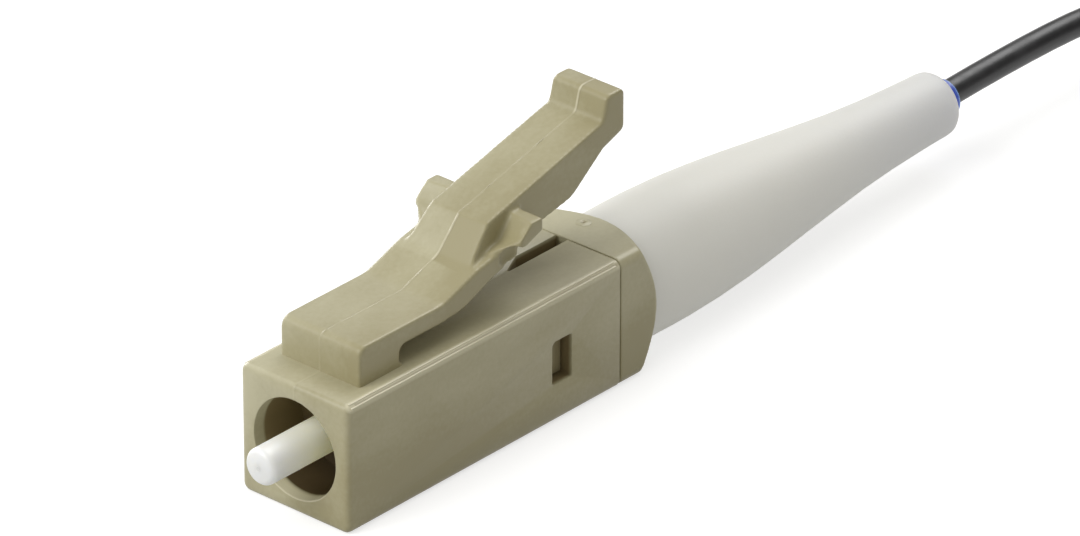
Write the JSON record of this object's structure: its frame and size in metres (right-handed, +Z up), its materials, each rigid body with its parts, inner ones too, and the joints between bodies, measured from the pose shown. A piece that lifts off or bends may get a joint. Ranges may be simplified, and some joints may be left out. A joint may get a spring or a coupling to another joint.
{
  "type": "lc fibre connector",
  "caption": "Small simplex fibre-optic plug with a sprung ceramic ferrule, a thumb latch on top, a smooth waisted strain-relief boot and a thin buffered fibre cord.",
  "frame": {"origin": "where the optical axis meets the plane of the housing's front face", "axes": "+X along the optical axis from the ferrule's tip towards the boot and the cord, +Z up through the latch, +Y across, to the left of someone looking along +X"},
  "size_m": [0.0736, 0.0119, 0.0097],
  "materials": {
    "beige_plastic": "satin moulded",
    "white_elastomer": "smooth soft moulded",
    "white_ceramic": "polished zirconia",
    "nickel_silver": "turned",
    "spring_steel": "bright drawn wire",
    "glass_core": "polished at the tip",
    "blue_tube": "extruded",
    "black_jacket": "glossy extruded",
    "strap_fabric": "woven strap"
  },
  "bodies": {
    "connector": {"plug_housing": "beige_plastic", "rear_body": "beige_plastic", "boot": "white_elastomer", "guide_tube": "blue_tube", "cord_core": "black_jacket", "cord_tube": "black_jacket", "cord_hank": "black_jacket", "hank_tie": "strap_fabric", "compression_spring": "spring_steel"},
    "latch": {"latch_lever": "beige_plastic"},
    "ferrule_unit": {"ferrule": "white_ceramic", "ferrule_holder": "nickel_silver", "glass_fibre": "glass_core"}
  },
  "joints": [
    {"name": "latch_press", "type": "hinge", "parent": "connector", "child": "latch", "pos_m": [0.00381, 0, 0.00326], "axis": [0, 1, 0], "range_deg": [0, 10], "stiffness_Nm_per_rad": 0.07},
    {"name": "ferrule_float", "type": "slide", "parent": "connector", "child": "ferrule_unit", "axis": [1, 0, 0], "range_m": [0, 0.0008], "stiffness_N_per_m": 2000, "deforming": ["compression_spring"]}
  ]
}
